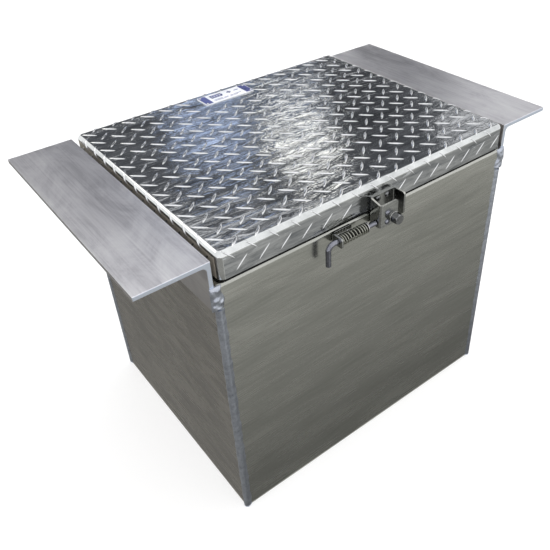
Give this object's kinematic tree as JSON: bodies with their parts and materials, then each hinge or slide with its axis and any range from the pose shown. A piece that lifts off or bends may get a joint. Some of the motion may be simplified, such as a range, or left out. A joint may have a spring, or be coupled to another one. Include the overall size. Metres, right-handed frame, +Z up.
{
  "type": "battery box",
  "caption": "Welded sheet aluminium battery box with side mounting flanges, a hinged tread-plate lid, a gasket, and a spring bolt that shoots into a keeper.",
  "frame": {"origin": "middle of the tub's underside", "axes": "+X along the width towards the right mounting flange, +Y towards the hinge at the rear, +Z up"},
  "size_m": [0.7472, 0.4663, 0.5125],
  "materials": {
    "sheet_aluminium": "smooth rolled sheet, satin, with faint streaks",
    "mill_aluminium": "mill finish with lengthwise drawing streaks",
    "tread_aluminium": "bright polished tread plate",
    "weld_aluminium": "rippled weld metal",
    "bright_steel": "polished stainless and zinc-plated steel",
    "black_rubber": "matte",
    "plate_print": "glossy printed plate"
  },
  "bodies": {
    "tub": {"front_panel": "sheet_aluminium", "rear_panel": "sheet_aluminium", "left_panel": "sheet_aluminium", "right_panel": "sheet_aluminium", "floor_panel": "sheet_aluminium", "corner_weld_front_left": "weld_aluminium", "leg_weld_front_left": "weld_aluminium", "corner_weld_front_right": "weld_aluminium", "leg_weld_front_right": "weld_aluminium", "corner_weld_rear_left": "weld_aluminium", "leg_weld_rear_left": "weld_aluminium", "corner_weld_rear_right": "weld_aluminium", "leg_weld_rear_right": "weld_aluminium", "mounting_angle_left": "mill_aluminium", "mounting_angle_right": "mill_aluminium", "hinge_tub_leaf": "mill_aluminium", "hold_down_bar": "mill_aluminium", "hold_down_clip_left": "mill_aluminium", "hold_down_clip_right": "mill_aluminium", "hinge_tub_rivet_1": "mill_aluminium", "hinge_tub_rivet_2": "mill_aluminium", "hinge_tub_rivet_3": "mill_aluminium", "gasket_front": "black_rubber", "gasket_rear": "black_rubber", "gasket_left": "black_rubber", "gasket_right": "black_rubber", "floor_mat": "black_rubber", "cable_grommet_left": "black_rubber", "cable_grommet_right": "black_rubber", "hinge_pin": "bright_steel", "latch_guide": "bright_steel", "guide_rivet_left": "bright_steel", "guide_rivet_right": "bright_steel", "latch_spring": "bright_steel", "hold_down_rod_left": "bright_steel", "hold_down_rod_right": "bright_steel", "hold_down_washer_left": "bright_steel", "hold_down_washer_right": "bright_steel"},
    "lid": {"lid_shell": "tread_aluminium", "label_plate": "plate_print", "hinge_lid_leaf": "mill_aluminium", "hinge_lid_rivet_1": "mill_aluminium", "hinge_lid_rivet_2": "mill_aluminium", "hinge_lid_rivet_3": "mill_aluminium", "latch_keeper": "bright_steel", "keeper_socket": "bright_steel", "keeper_rivet_left": "bright_steel", "keeper_rivet_right": "bright_steel", "keeper_screw_upper": "bright_steel", "keeper_screw_lower": "bright_steel", "keeper_washer": "bright_steel", "keeper_bolt": "bright_steel"},
    "bolt_carrier": {"spring_washer": "bright_steel"},
    "bolt": {"latch_rod": "bright_steel", "cotter_pin": "bright_steel"},
    "wing_nut_left": {"wing_nut_left": "bright_steel"},
    "wing_nut_right": {"wing_nut_right": "bright_steel"}
  },
  "joints": [
    {"name": "lid_hinge", "type": "hinge", "parent": "tub", "child": "lid", "pos_m": [0, 0.217, 0.469], "axis": [-1, 0, 0], "range_deg": [0, 110]},
    {"name": "bolt_slide", "type": "slide", "parent": "tub", "child": "bolt_carrier", "axis": [1, 0, 0], "range_m": [-0.004, 0.007], "stiffness_N_per_m": 3400, "springref_m": 0.012, "deforming": ["latch_spring"]},
    {"name": "handle_turn", "type": "hinge", "parent": "bolt_carrier", "child": "bolt", "pos_m": [-0.05, -0.229, 0.458], "axis": [-1, 0, 0], "range_deg": [0, 180]},
    {"name": "wing_nut_left_turn", "type": "hinge", "parent": "tub", "child": "wing_nut_left", "pos_m": [-0.238, 0, 0.28], "axis": [0, 0, 1], "continuous": true},
    {"name": "wing_nut_right_turn", "type": "hinge", "parent": "tub", "child": "wing_nut_right", "pos_m": [0.238, 0, 0.28], "axis": [0, 0, 1], "continuous": true}
  ]
}
